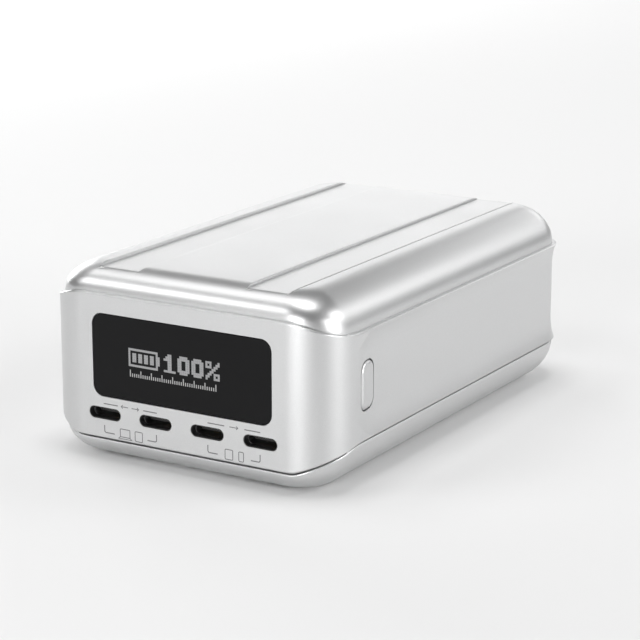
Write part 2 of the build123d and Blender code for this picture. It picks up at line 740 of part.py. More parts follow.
def button_board():
    """Small upright board that carries the switch and stands on the main board."""
    face = switch_face() - 2.05
    board = block(face - 0.8, face, BUTTON_Y - 4, BUTTON_Y + 4, BOARD_TOP, BUTTON_Z + 6)
    return chamfer(board.edges().filter_by(Axis.X).sort_by(Axis.Z)[-2:], 1.2)


# ---------------------------------------------------------------- battery pack
def cell_places():
    """Centre of every cell in the side view (Y, Z), with the side its positive end faces."""
    places = []
    for row in range(CELL_ROWS):
        for layer in (-1, 1):
            places.append((FIRST_ROW_Y + row * CELL_PITCH, MID_Z + layer * CELL_PITCH / 2, layer))
    return places


def cell(y, z, facing):
    """One cylindrical cell in its sleeve, with a grooved can and a raised positive cap."""
    can = Pos(-0.3 * facing, y, z) * Cylinder(CELL_R, CELL_LENGTH - 0.6, rotation=(0, 90, 0))
    groove_x = facing * (CELL_LENGTH / 2 - 4)
    can -= Pos(groove_x, y, z) * (Cylinder(CELL_R + 1, 0.8, rotation=(0, 90, 0))
                                  - Cylinder(CELL_R - 0.4, 0.8, rotation=(0, 90, 0)))
    cap_x = facing * (CELL_LENGTH / 2 - 0.5)
    return can + Pos(cap_x, y, z) * Cylinder(3.8, 1.0, rotation=(0, 90, 0))


def cell_holder(side):
    """Moulded frame round one end of all the cells."""
    inner = CELL_LENGTH / 2 - HOLDER_DEPTH
    outer = CELL_LENGTH / 2 - 0.7
    front = FIRST_ROW_Y - CELL_PITCH / 2 - 0.6
    rear = FIRST_ROW_Y + (CELL_ROWS - 0.5) * CELL_PITCH + 0.3
    height = CELL_PITCH - 0.2
    body = block(*sorted((side * inner, side * outer)), front, rear, MID_Z - height, MID_Z + height)
    body = chamfer(body.edges().filter_by(Axis.X), 5.0)
    for y, z, _ in cell_places():
        body -= Pos(0, y, z) * Cylinder(CELL_R + 0.1, 2 * HALF_W, rotation=(0, 90, 0))
    for row in range(CELL_ROWS - 1):
        y = FIRST_ROW_Y + (row + 0.5) * CELL_PITCH
        body -= Pos(0, y, MID_Z) * Cylinder(2.4, 2 * HALF_W, rotation=(0, 90, 0))
    rounded = extrude(outline(FRAME_WALL + SKIRT_GAP + SKIRT_WALL + 0.8), HEIGHT)
    return body & rounded


def nickel_strips(side):
    """Welded strips that join the cells in pairs at one end, with slots at each weld."""
    x = side * CELL_LENGTH / 2
    strips = []
    for row in range(0, CELL_ROWS, 2):
        y0 = FIRST_ROW_Y + row * CELL_PITCH - 4
        y1 = FIRST_ROW_Y + (row + 1) * CELL_PITCH + 4
        strip = block(*sorted((x, x + side * 0.2)), y0, y1, MID_Z - 13.5, MID_Z + 13.5)
        strip -= block(*sorted((x, x + side * 0.2)), y0 + 8, y1 - 8, MID_Z - 5, MID_Z + 5)
        for y in (y0 + 4, y1 - 4):
            for layer in (-1, 1):
                strip -= Pos(x, y, MID_Z + layer * CELL_PITCH / 2) * Box(1, 0.8, 4.5)
        strips.append(strip)
    return Compound(children=strips)


def insulation_sheet(side):
    """Fish paper over the welded strips."""
    x = side * (CELL_LENGTH / 2 + 0.2)
    front = FIRST_ROW_Y - 6
    rear = FIRST_ROW_Y + (CELL_ROWS - 1) * CELL_PITCH + 6
    sheet = block(*sorted((x, x + side * 0.3)), front, rear, MID_Z - 15.5, MID_Z + 15.5)
    return chamfer(sheet.edges().filter_by(Axis.X), 2.5)


def foam_pad(z0, z1):
    """Foam between the battery pack and a shell."""
    front = FIRST_ROW_Y - 4
    rear = FIRST_ROW_Y + (CELL_ROWS - 1) * CELL_PITCH + 2
    pad = block(-22, 22, front, rear, z0, z1)
    for y in (front + 18, front + 36):
        pad -= block(-14, 14, y, y + 3, z0, z1)
    return pad


def pack_lead(side):
    """Stranded lead from one end's strips to the main board."""
    x = side * (CELL_LENGTH / 2 - 4)
    y_front = FIRST_ROW_Y - CELL_PITCH / 2 - 0.6
    path = FilletPolyline(
        (x - side * 3, y_front - 1.6, MID_Z + 3), (x - side * 3, y_front - 5.5, MID_Z - 4),
        (x - side * 5, y_front - 4.5, BOARD_TOP + 0.6), radius=2.6)
    section = Plane(path @ 0, z_dir=path % 0) * Circle(LEAD_D / 2)
    return sweep(section, path=path)


def balance_plug():
    """Plug and header for the cell balance leads, on the main board."""
    rear = main_board_ends()[1]
    body = block(-6, 6, rear - 6, rear - 1, BOARD_TOP, BOARD_TOP + 5.5)
    for i in range(4):
        x = -4.2 + 2.8 * i
        body -= block(x - 0.6, x + 0.6, rear - 5, rear - 2, BOARD_TOP + 3.5, BOARD_TOP + 5.5)
    return body


def balance_leads():
    """Flat bundle of balance leads from the plug up to the front of the pack."""
    rear = main_board_ends()[1]
    y_front = FIRST_ROW_Y - CELL_PITCH / 2 - 0.6
    return block(-3, 3, rear - 3.2, rear - 2.4, BOARD_TOP + 5.5, MID_Z + 8) + block(
        -3, 3, rear - 3.2, y_front + 0.6, MID_Z + 8, MID_Z + 8.8)


def thermistor():
    """Temperature bead taped between the two front cells."""
    y = FIRST_ROW_Y - 6.2
    bead = Pos(10, y, MID_Z) * Cylinder(1.6, 6, rotation=(0, 90, 0))
    return fillet(bead.edges(), 0.6)


# ---------------------------------------------------------------- assembly
def top_shell():
    """Upper casing shell."""
    body = Pos(0, 0, HEIGHT) * shell(TOP_SIDE_RISE, TOP_FRONT_RISE, TOP_GAP, TOP_INSET)
    return body.solids().sort_by(SortBy.VOLUME)[-1]


def bottom_shell():
    """Lower casing shell, with the pillars under the main board."""
    upright = shell(BOTTOM_SIDE_RISE, BOTTOM_FRONT_RISE, BOTTOM_GAP, BOTTOM_INSET)
    body = mirror(upright, about=Plane.XY) + board_pillars()
    return body.solids().sort_by(SortBy.VOLUME)[-1]


def build():
    """Every node of the power bank."""
    nodes = {
        "top_shell": top_shell(),
        "bottom_shell": bottom_shell(),
        "mid_frame": mid_frame(),
        "display_window": display_window(),
        "window_tape": window_tape(),
        "display_panel": display_panel(),
        "display_bracket": display_bracket(),
        "display_ribbon": display_ribbon(),
        "control_board": control_board(),
        "control_chips": control_chips(),
        "board_header": board_header(),
        "display_screws": display_screws(),
        "socket_trim": socket_trim(),
        "main_board": main_board(),
        "board_screws": board_screws(),
        "inductors": inductors(),
        "capacitors": capacitors(),
        "power_chips": power_chips(),
        "heat_pad": heat_pad(),
        "heat_spreader": heat_spreader(),
        "power_button": power_button(),
        "switch_plunger": switch_plunger(),
        "switch_body": switch_body(),
        "button_board": button_board(),
        "cell_holder_left": cell_holder(-1),
        "cell_holder_right": cell_holder(1),
        "nickel_strips_left": nickel_strips(-1),
        "nickel_strips_right": nickel_strips(1),
        "insulation_left": insulation_sheet(-1),
        "insulation_right": insulation_sheet(1),
        "foam_pad_top": foam_pad(MID_Z + CELL_PITCH, HEIGHT - SHELL_WALL - CHANNEL_DEPTH),
        "foam_pad_bottom": foam_pad(SHELL_WALL + CHANNEL_DEPTH, MID_Z - CELL_PITCH),
        "pack_lead_positive": pack_lead(1),
        "pack_lead_negative": pack_lead(-1),
        "balance_plug": balance_plug(),
        "balance_leads": balance_leads(),
        "thermistor": thermistor(),
    }
    for number, x in enumerate(port_places(), start=1):
        nodes[f"usb_c_shell_{number}"] = usb_c_shell(x)
        nodes[f"usb_c_tongue_{number}"] = usb_c_tongue(x)
    for number, place in enumerate(cell_places(), start=1):
        nodes[f"cell_{number}"] = cell(*place)
    return nodes


def main():
    """Write one STEP file for each node."""
    for name, shape in build().items():
        shape.label = name
        export_step(shape, f"parts/{name}.step")
        print(name, round(shape.volume, 1), len(shape.solids()))


if __name__ == "__main__":
    main()
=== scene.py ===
import math

import bmesh
import bpy
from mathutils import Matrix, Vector


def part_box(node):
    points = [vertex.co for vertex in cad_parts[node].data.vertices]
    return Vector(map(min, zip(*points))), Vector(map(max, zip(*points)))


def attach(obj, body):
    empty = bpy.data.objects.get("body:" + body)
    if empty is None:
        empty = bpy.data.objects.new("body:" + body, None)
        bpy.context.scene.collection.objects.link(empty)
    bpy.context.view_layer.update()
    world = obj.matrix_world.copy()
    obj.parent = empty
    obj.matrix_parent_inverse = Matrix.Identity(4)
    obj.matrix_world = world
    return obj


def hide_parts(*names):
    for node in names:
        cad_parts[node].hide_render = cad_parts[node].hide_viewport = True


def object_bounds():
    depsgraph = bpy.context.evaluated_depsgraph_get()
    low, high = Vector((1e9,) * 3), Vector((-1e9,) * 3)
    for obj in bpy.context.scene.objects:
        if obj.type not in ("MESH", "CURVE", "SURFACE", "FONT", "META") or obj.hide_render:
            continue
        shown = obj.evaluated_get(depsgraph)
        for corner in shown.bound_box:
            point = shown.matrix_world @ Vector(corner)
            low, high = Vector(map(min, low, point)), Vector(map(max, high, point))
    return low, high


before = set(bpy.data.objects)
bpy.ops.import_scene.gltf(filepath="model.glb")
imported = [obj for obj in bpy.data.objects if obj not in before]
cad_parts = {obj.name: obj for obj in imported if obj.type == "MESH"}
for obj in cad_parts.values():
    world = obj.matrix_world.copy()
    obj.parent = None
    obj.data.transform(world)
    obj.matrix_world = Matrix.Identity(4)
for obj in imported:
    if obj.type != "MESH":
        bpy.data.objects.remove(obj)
CAD_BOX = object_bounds()
MM = 0.001

# Places that the casing, the printed marks, the display picture and the lamps are worked out from
CASE_LOW, CASE_HIGH = CAD_BOX
FRONT_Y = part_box("mid_frame")[0].y
WINDOW_LOW, WINDOW_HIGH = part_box("display_window")
SOCKETS = [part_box(f"usb_c_shell_{i}") for i in (1, 2, 3, 4)]
SOCKET_X = [(low.x + high.x) / 2 for low, high in SOCKETS]
SOCKET_Z = (SOCKETS[0][0].z + SOCKETS[0][1].z) / 2

# View: the camera's direction in degrees, its distance and target, and the lens in millimetres
VIEW_AZIMUTH = 30.895
VIEW_ELEVATION = 14.96
VIEW_DISTANCE = 561.857 * MM
VIEW_TARGET = Vector((-0.348, 0.0, 23.149)) * MM
LENS = 123.86

# Soft light all round, sizes in metres: name, azimuth, elevation and power in watts of each softbox.
# The gap between the front and the right one makes the darker band round the near corner.
LAMP_DISTANCE = 1.2
LAMP_WIDTH, LAMP_HEIGHT = 0.55, 0.42
SOFTBOXES = (
    ("front", 0, 10, 8),
    ("front_left", -45, 35, 3),
    ("left", -120, 10, 6),
    ("left_high", -90, 60, 2),
    ("right", 90, 10, 6),
    ("right_high", 120, 30, 4),
    ("rear_right", 150, 20, 1),
    ("rear", 180, 20, 1.5),
    ("rear_left", -150, 15, 1.5),
    ("top", 0, 90, 6),
)
WORLD_LIGHT = 0.03
FLOOR_REACH = 4.0
FLOOR_DROP = 0.02 * MM          # keeps the floor clear of the underside

# Casing shells, in millimetres. Their form is that of the CAD shells, but the top seam is closed and a
# fine groove runs along the foot of each channel's walls.
HALF_W = CASE_HIGH.x / MM
HALF_L = -FRONT_Y / MM
CORNER_R = 11.4
TOP_FORM = (9.7, 5.7, 1.1)      # depth below the flat face at the sides and at the front, and
BOTTOM_FORM = (10.7, 5.6, 0.6)  # how far the edge stands inside the frame's edge
TOP_SEAM = (0.0, 0.03)          # gap to the frame, and radius of the rounded lip
BOTTOM_SEAM = (0.5, 0.35)
RAMP_START, RAMP_END = 5, 115   # where the edge changes height, in degrees round a front corner; past 90
RAMP_EASE = 0.7                 # it runs on along the side at the same rate
SHELL_WALL = 1.8
INNER_INSET = 2.9
SIDE_ROUND = 10.5               # how far a dome draws in at the sides and at the ends
END_ROUND = 8.0
CORNER_SHRINK = 0.75            # share of the draw-in at the ends that the corner radius loses
CHANNEL_IN, CHANNEL_OUT = 15.0, 26.2
CHANNEL_DEPTH = 0.6
CHANNEL_ROUND = 0.25
RIM_ANGLES = (0, 22.5, 45, 67.5, 90)
CHANNEL_FOOT = 0.2              # extra depth of the fine groove along the foot of a channel's walls
GROOVE_IN, GROOVE_OUT = 26.55, 26.85    # fine line beside each channel
GROOVE_DEPTH = 0.25
CHANNEL_SOFT = 0.12             # softness of the line where a channel runs out on the dome
SHELL_EDGE = 27.2               # where the straight columns end and the corner columns begin
CORNER_STEPS, DOME_STEPS, MOUTH_STEPS, INNER_STEPS, LIP_STEPS = 16, 22, 10, 10, 4
# Shares of a side's length, closer together near the front, where the edge still changes height
SIDE_PLACES = [0.01 * i for i in range(6)] + [0.05 + 0.0475 * i for i in range(1, 21)]

# Printed marks on the front, in millimetres
INK_PROUD = 0.012
INK_STROKE = 0.26
THIN_STROKE = INK_STROKE * 0.8
INK_CORNER = 0.45


# ---------------------------------------------------------------- view, floor and light
def toward(azimuth, elevation):
    """Unit vector from the object towards a place round it, angles in degrees. Azimuth 0 is the front."""
    a, e = math.radians(azimuth), math.radians(elevation)
    return Vector((math.sin(a) * math.cos(e), -math.cos(a) * math.cos(e), math.sin(e)))


def add_camera():
    data = bpy.data.cameras.new("camera")
    data.lens = LENS
    data.sensor_width = 36
    data.clip_start = 0.01
    data.clip_end = 50
    camera = bpy.data.objects.new("camera", data)
    bpy.context.scene.collection.objects.link(camera)
    back = toward(VIEW_AZIMUTH, VIEW_ELEVATION)
    camera.location = VIEW_TARGET + back * VIEW_DISTANCE
    camera.rotation_mode = "QUATERNION"
    camera.rotation_quaternion = (-back).to_track_quat("-Z", "Y")
    bpy.context.scene.camera = camera


def add_softbox(name, azimuth, elevation, power):
    """Rectangular area light that faces the middle of the object."""
    data = bpy.data.lights.new(name, "AREA")
    data.shape = "RECTANGLE"
    data.size = LAMP_WIDTH
    data.size_y = LAMP_HEIGHT
    data.energy = power
    lamp = bpy.data.objects.new(name, data)
    bpy.context.scene.collection.objects.link(lamp)
    direction = toward(azimuth, elevation)
    centre = Vector((0, 0, (CASE_LOW.z + CASE_HIGH.z) / 2))
    lamp.location = centre + direction * LAMP_DISTANCE
    lamp.rotation_mode = "QUATERNION"
    lamp.rotation_quaternion = (-direction).to_track_quat("-Z", "Y")


def add_world(strength):
    world = bpy.data.worlds.new("studio")
    world.use_nodes = True
    background = world.node_tree.nodes["Background"]
    background.inputs["Color"].default_value = (1, 1, 1, 1)
    background.inputs["Strength"].default_value = strength
    bpy.context.scene.world = world


def add_floor():
    mesh = bpy.data.meshes.new("floor")
    reach = FLOOR_REACH
    corners = [(-reach, -reach, 0), (reach, -reach, 0), (reach, reach, 0), (-reach, reach, 0)]
    mesh.from_pydata(corners, [], [(0, 1, 2, 3)])
    floor = bpy.data.objects.new("floor", mesh)
    bpy.context.scene.collection.objects.link(floor)
    floor.location.z = -FLOOR_DROP
    mesh.materials.append(finish("floor_paper", (0.82, 0.82, 0.82), roughness=0.9, grain=0.4, tint=0.01,
                                 relief=0.01))


# ---------------------------------------------------------------- materials
class Shader:
    """A small helper to put nodes in a material and wire them."""

    def __init__(self, name):
        self.material = bpy.data.materials.new(name)
        self.material.use_nodes = True
        self.tree = self.material.node_tree
        self.surface = self.tree.nodes["Principled BSDF"]
        coordinates = self.tree.nodes.new("ShaderNodeTexCoord")
        self.place = coordinates.outputs["Object"]

    def add(self, kind, **values):
        node = self.tree.nodes.new(kind)
        for key, value in values.items():
            setattr(node, key, value)
        return node

    def link(self, source, target):
        self.tree.links.new(source, target)

    def set(self, **values):
        for key, value in values.items():
            self.surface.inputs[key.replace("_", " ")].default_value = value

    def stretched(self, stretch):
        """Object coordinates squeezed along an axis, for grain that runs one way."""
        mapping = self.add("ShaderNodeMapping")
        mapping.inputs["Scale"].default_value = stretch
        self.link(self.place, mapping.inputs["Vector"])
        return mapping.outputs["Vector"]

    def noise(self, size, detail=3.0, place=None):
        """Noise with features about that many millimetres across."""
        node = self.add("ShaderNodeTexNoise")
        node.inputs["Scale"].default_value = 1 / (size * MM)
        node.inputs["Detail"].default_value = detail
        self.link(place or self.place, node.inputs["Vector"])
        return node.outputs["Fac"]

    def cells(self, size):
        """Texture node with a value of its own for each cell about that many millimetres across."""
        node = self.add("ShaderNodeTexVoronoi")
        node.inputs["Scale"].default_value = 1 / (size * MM)
        self.link(self.place, node.inputs["Vector"])
        return node

    def ranged(self, source, low, high):
        node = self.add("ShaderNodeMapRange")
        node.inputs["To Min"].default_value = low
        node.inputs["To Max"].default_value = high
        self.link(source, node.inputs["Value"])
        return node.outputs["Result"]

    def shaded(self, source, color, spread):
        """Colour that is lighter and darker by that share where source is high and low."""
        mix = self.add("ShaderNodeMix", data_type="RGBA")
        mix.inputs[6].default_value = (*[c * (1 - spread) for c in color], 1)
        mix.inputs[7].default_value = (*[min(c * (1 + spread), 1) for c in color], 1)
        self.link(source, mix.inputs["Factor"])
        return mix.outputs[2]

    def bump(self, source, height, normal=None):
        """Relief of that many millimetres."""
        node = self.add("ShaderNodeBump")
        node.inputs["Strength"].default_value = 1.0
        node.inputs["Distance"].default_value = height * MM
        self.link(source, node.inputs["Height"])
        if normal:
            self.link(normal, node.inputs["Normal"])
        return node.outputs["Normal"]


def finish(name, color, metallic=0.0, roughness=0.5, grain=0.3, tint=0.05, relief=0.004, spread=0.06,
           stretch=None, coat=0.0, gloss=0.5):
    """Moulded, pressed or painted surface with fine grain, patches of gloss and slight changes of colour.

    grain and relief are in millimetres; tint, spread and gloss are the change of colour, the change of
    roughness and the specular level.
    """
    s = Shader(name)
    place = s.stretched(stretch) if stretch else s.place
    fine = s.noise(grain, 4.0, place)
    patches = s.noise(9.0, 2.0)
    s.link(s.shaded(fine, color, tint), s.surface.inputs["Base Color"])
    s.link(s.ranged(patches, roughness - spread, roughness + spread), s.surface.inputs["Roughness"])
    s.link(s.bump(fine, relief), s.surface.inputs["Normal"])
    s.set(Metallic=metallic, Coat_Weight=coat, Specular_IOR_Level=gloss)
    return s.material


def lacquer(name):
    """Pearl silver lacquer: fine metal flakes, satin gloss, a little orange peel, faint handling."""
    s = Shader(name)
    flakes = s.cells(0.09)
    flake = s.add("ShaderNodeSeparateColor")
    s.link(flakes.outputs["Color"], flake.inputs["Color"])
    s.link(s.shaded(flake.outputs["Red"], (0.635, 0.638, 0.64), 0.035), s.surface.inputs["Base Color"])
    handling = s.noise(14.0, 3.0)
    s.link(s.ranged(handling, 0.36, 0.41), s.surface.inputs["Roughness"])
    peel = s.bump(s.noise(0.8, 2.0), 0.0012)
    s.link(s.bump(flake.outputs["Green"], 0.0007, peel), s.surface.inputs["Normal"])
    s.set(Metallic=0.9)
    return s.material


def glow(name, color, strength):
    """Lit dots of the display."""
    s = Shader(name)
    dots = s.noise(0.25, 1.0)
    s.link(s.shaded(dots, color, 0.12), s.surface.inputs["Base Color"])
    s.link(s.shaded(dots, color, 0.12), s.surface.inputs["Emission Color"])
    s.set(Roughness=0.6, Emission_Strength=strength)
    return s.material


def make_finishes():
    """One finish for each material slot of the record."""
    metal = {"metallic": 1.0, "tint": 0.04}
    return {
        "casing_paint": lacquer("casing_lacquer"),
        "button_paint": lacquer("button_lacquer"),
        "window_black": finish("window_acrylic", (0.010, 0.010, 0.0105), roughness=0.3, grain=2.0,
                               relief=0.0003, spread=0.03, gloss=0.08),
        "tape_black": finish("tape", (0.03, 0.03, 0.03), roughness=0.8),
        "panel_glass": finish("panel_glass", (0.04, 0.04, 0.05), roughness=0.1, grain=2.0, relief=0.0005,
                              spread=0.03),
        "inner_plastic": finish("inner_plastic", (0.08, 0.08, 0.085), roughness=0.6, grain=0.25,
                                relief=0.01),
        "flex_amber": finish("flex_film", (0.6, 0.3, 0.06), roughness=0.35, stretch=(1, 0.1, 1)),
        "board_green": finish("solder_mask", (0.02, 0.16, 0.07), roughness=0.35, grain=1.2, tint=0.2,
                              relief=0.01, coat=0.3),
        "chip_black": finish("chip_mould", (0.035, 0.035, 0.04), roughness=0.65, grain=0.12, relief=0.006),
        "screw_steel": finish("screw_steel", (0.55, 0.56, 0.58), roughness=0.3, **metal),
        "trim_black": finish("socket_trim", (0.012, 0.012, 0.012), roughness=0.45, grain=0.2, relief=0.003),
        "ferrite_grey": finish("ferrite", (0.17, 0.17, 0.18), roughness=0.75, grain=0.2, tint=0.12,
                               relief=0.02),
        "capacitor_can": finish("capacitor_can", (0.72, 0.72, 0.74), roughness=0.28,
                                stretch=(1, 1, 0.08), **metal),
        "pad_blue": finish("heat_pad", (0.2, 0.36, 0.55), roughness=0.8, grain=0.5, relief=0.03),
        "heat_aluminium": finish("extruded_aluminium", (0.76, 0.77, 0.79), roughness=0.38,
                                 stretch=(1, 0.05, 1), **metal),
        "plunger_white": finish("plunger", (0.7, 0.7, 0.68), roughness=0.5),
        "holder_black": finish("holder_plastic", (0.04, 0.04, 0.04), roughness=0.55, grain=0.3,
                               relief=0.012),
        "nickel": finish("nickel_strip", (0.66, 0.63, 0.58), roughness=0.28, stretch=(1, 0.1, 1), **metal),
        "fish_paper": finish("fish_paper", (0.62, 0.66, 0.56), roughness=0.85, grain=0.6, tint=0.12,
                             relief=0.02),
        "foam_grey": finish("foam", (0.2, 0.2, 0.21), roughness=0.95, grain=0.4, tint=0.25, relief=0.15),
        "lead_red": finish("lead_red", (0.5, 0.03, 0.02), roughness=0.45),
        "lead_black": finish("lead_black", (0.03, 0.03, 0.03), roughness=0.45),
        "socket_metal": finish("socket_metal", (0.5, 0.5, 0.51), roughness=0.3, stretch=(0.1, 1, 1),
                               **metal),
        "tongue_black": finish("tongue", (0.02, 0.02, 0.02), roughness=0.35, grain=0.2),
        "cell_sleeve": finish("cell_sleeve", (0.05, 0.16, 0.36), roughness=0.3, grain=1.5, relief=0.02,
                              coat=0.2),
    }


def dress_nodes(finishes):
    """Puts the finishes on the CAD nodes that show as they are."""
    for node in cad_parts.values():
        for place in node.material_slots:
            place.material = finishes[place.material.name.split(".")[0]]


# ---------------------------------------------------------------- pieces
def piece_from(name, mesh, material, body, smooth_angle=None):
    """Object made from a finished bmesh, riding on a CAD body."""
    data = bpy.data.meshes.new(name)
    mesh.to_mesh(data)
    mesh.free()
    data.materials.append(material)
    if smooth_angle:
        data.shade_smooth()
        data.set_sharp_from_angle(angle=math.radians(smooth_angle))
    piece = bpy.data.objects.new(name, data)
    bpy.context.scene.collection.objects.link(piece)
    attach(piece, body)
    return piece


# ---------------------------------------------------------------- casing shells
def shell_outline(height, form, wall, shrink=0.0):
    """Level outline of a shell at a height: half width, front Y, rear Y and corner radius.

    Heights are measured from the shell's flat face, so they are 0 or negative.
    """
    side_rise, front_rise, edge = form
    rise = min(max((height + side_rise) / (side_rise - wall), 0), 1)
    draw_in = 1 - math.sqrt(1 - rise * rise)
    lift = min(max(height + front_rise, 0) / (front_rise - wall), 1)
    inset = (INNER_INSET if wall else edge) + shrink
    front = inset + END_ROUND * (1 - math.sqrt(1 - lift * lift))
    radius = CORNER_R - inset - CORNER_SHRINK * END_ROUND * draw_in
    half_w = HALF_W - inset - SIDE_ROUND * draw_in
    return half_w, front - HALF_L, HALF_L - inset - END_ROUND * draw_in, radius


def shell_columns():
    """Places round half of a shell: a kind, a place along it, and the height of a channel crossed there."""
    front = [(x, None) for x in (0, 3, 6, 9, 12, 14)]
    front += channel_profile()
    front.append((SHELL_EDGE, None))
    columns = [("front", x, cap) for x, cap in front]
    columns += [("front_corner", u / CORNER_STEPS, None) for u in range(1, CORNER_STEPS)]
    columns += [("side", along, None) for along in SIDE_PLACES]
    columns += [("rear_corner", u / CORNER_STEPS, None) for u in range(CORNER_STEPS - 1, 0, -1)]
    columns += [("rear", x, cap) for x, cap in reversed(front)]
    return columns


def channel_profile():
    """X and height across one channel: rounded rims, walls, floor and the fine line outside it."""
    r = CHANNEL_ROUND
    rim = [(math.sin(a), math.cos(a) - 1) for a in map(math.radians, RIM_ANGLES)]
    inner = [(CHANNEL_IN - r + r * s, r * c) for s, c in rim]
    outer = [(CHANNEL_OUT + r - r * s, r * c) for s, c in reversed(rim)]
    foot = -CHANNEL_DEPTH - CHANNEL_FOOT
    floor_in = [(CHANNEL_IN + 0.02, foot), (CHANNEL_IN + 0.22, foot), (CHANNEL_IN + 0.3, -CHANNEL_DEPTH)]
    floor_out = [(CHANNEL_OUT - 0.3, -CHANNEL_DEPTH), (CHANNEL_OUT - 0.22, foot),
                 (CHANNEL_OUT - 0.02, foot)]
    line = [(GROOVE_IN - 0.03, -0.03), (GROOVE_IN, -GROOVE_DEPTH), (GROOVE_OUT, -GROOVE_DEPTH),
            (GROOVE_OUT + 0.02, -0.06), (GROOVE_OUT + 0.08, 0)]
    middle = [(CHANNEL_IN + (CHANNEL_OUT - CHANNEL_IN) * i / 5, -CHANNEL_DEPTH) for i in (1, 2, 3, 4)]
    return inner + floor_in + middle + floor_out + outer + line


def column_place(column, outline):
    """Plan position of a column on a level outline."""
    kind, along, _ = column
    half_w, y_front, y_rear, r = outline
    straight = half_w - r
    if kind == "side":
        return half_w, y_front + r + (y_rear - y_front - 2 * r) * along
    if kind in ("front", "rear"):
        x = along
        dip = r - math.sqrt(max(r * r - max(x - straight, 0) ** 2, 0))
    else:
        run = max(straight - SHELL_EDGE, 0)
        start = math.asin(min(max(SHELL_EDGE - straight, 0) / r, 1))
        s = along * (run + r * (math.pi / 2 - start))
        angle = start + max(s - run, 0) / r
        x = SHELL_EDGE + s if s < run else straight + r * math.sin(angle)
        dip = r - r * math.cos(angle) if s > run else 0
    return (x, y_front + dip) if kind.startswith("front") else (x, y_rear - dip)


def seam_depth(x, y, form):
    """Depth of a shell's edge below its flat face. It changes round the front corners."""
    side_rise, front_rise, _ = form
    past = y - (CORNER_R - HALF_L)
    turn = math.pi / 2 + past / CORNER_R if past > 0 else math.atan2(max(x - HALF_W + CORNER_R, 0), -past)
    t = min(max((math.degrees(turn) - RAMP_START) / (RAMP_END - RAMP_START), 0), 1) ** RAMP_EASE
    return front_rise + (side_rise - front_rise) * t * t * (3 - 2 * t)


def column_heights(column, form, gap, lip):
    """Heights and inward steps of a column's points, from the seam up to the flat face."""
    x, y = column_place(column, shell_outline(gap - form[1], form, 0))
    for _ in range(3):
        low = gap - seam_depth(x, y, form)
        x, y = column_place(column, shell_outline(low + lip, form, 0))
    points = []
    for step in range(LIP_STEPS):
        a = math.radians(90 * step / LIP_STEPS)
        points.append((low + lip * (1 - math.cos(a)), lip * (1 - math.sin(a))))
    first = math.asin((low + lip + form[0]) / form[0])
    mouth = math.asin((form[0] - CHANNEL_DEPTH) / form[0])
    for start, end, steps in ((first, mouth, DOME_STEPS), (mouth, math.pi / 2, MOUTH_STEPS)):
        for step in range(steps):
            turn = start + (end - start) * step / steps
            points.append((form[0] * (math.sin(turn) - 1), 0.0))
    points.append((0.0, 0.0))
    return points


def capped(height, cap):
    """Height of the shell's face where a channel may cut it, with a soft mouth."""
    if cap is None:
        return height
    soft = CHANNEL_SOFT * min(-height / CHANNEL_DEPTH, 1)
    meet = max(soft - abs(height - cap), 0)
    return min(height, cap) - (meet * meet / (4 * soft) if soft > 0 else 0)


def shell_skin(mesh, columns, form, gap, lip, inner):
    """Half of a shell's outer or inner face. Returns the vertices of its lowest ring."""
    grid = []
    for column in columns:
        heights = column_heights(column, form, gap, lip)
        if inner:
            low, flat = heights[0][0], -SHELL_WALL
            turns = [math.pi / 2 * i / INNER_STEPS for i in range(INNER_STEPS + 1)]
            heights = [(low + (flat - low) * math.sin(t), 0.0) for t in turns]
        line = []
        for height, shrink in heights:
            x, y = column_place(column, shell_outline(height, form, SHELL_WALL if inner else 0, shrink))
            z = height if inner else capped(height, column[2])
            line.append(mesh.verts.new((x, y, z)))
        grid.append(line)
    for one, two in zip(grid, grid[1:]):
        for j in range(len(one) - 1):
            mesh.faces.new((one[j], two[j], two[j + 1], one[j + 1]))
    flat_face(mesh, columns, [line[-1] for line in grid], inner)
    return [line[0] for line in grid]


def flat_face(mesh, columns, rim, inner):
    """Rows of quads across the flat face, inside the top ring."""
    fronts = [i for i, c in enumerate(columns) if c[0] == "front"]
    sides = [i for i, c in enumerate(columns) if c[0] == "side"]
    last = len(columns) - 1
    rows = []
    for side in sides:
        y = rim[side].co.y
        rows.append([mesh.verts.new((rim[i].co.x, y, rim[i].co.z)) for i in fronts] + [rim[side]])
    for one, two in zip(rows, rows[1:]):
        for i in range(len(one) - 1):
            mesh.faces.new((one[i], one[i + 1], two[i + 1], two[i]))
    for i in fronts[:-1]:
        mesh.faces.new((rim[i], rim[i + 1], rows[0][i + 1], rows[0][i]))
        mesh.faces.new((rim[last - i], rim[last - i - 1], rows[-1][i + 1], rows[-1][i]))
    edge = fronts[-1]
    mesh.faces.new([rows[0][edge]] + rim[edge:sides[0] + 1])
    mesh.faces.new([rows[-1][edge]] + rim[sides[-1]:last - edge + 1])


def casing_shell(name, node, form, gap, lip, face_z, way, material):
    """One whole shell: outer and inner face, joined along the seam, mirrored to the other side."""
    mesh = bmesh.new()
    columns = shell_columns()
    outer = shell_skin(mesh, columns, form, gap, lip, inner=False)
    inner = shell_skin(mesh, columns, form, gap, lip, inner=True)
    for i in range(len(outer) - 1):
        mesh.faces.new((outer[i], outer[i + 1], inner[i + 1], inner[i]))
    half = mesh.verts[:] + mesh.edges[:] + mesh.faces[:]
    bmesh.ops.mirror(mesh, geom=half, axis="X", merge_dist=0.001)
    bmesh.ops.scale(mesh, vec=(MM, MM, way * MM), verts=mesh.verts)
    bmesh.ops.translate(mesh, vec=(0, 0, face_z), verts=mesh.verts)
    bmesh.ops.remove_doubles(mesh, verts=mesh.verts, dist=0.0001 * MM)
    bmesh.ops.recalc_face_normals(mesh, faces=mesh.faces)
    piece = piece_from(name, mesh, material, "case", smooth_angle=40)
    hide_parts(node)


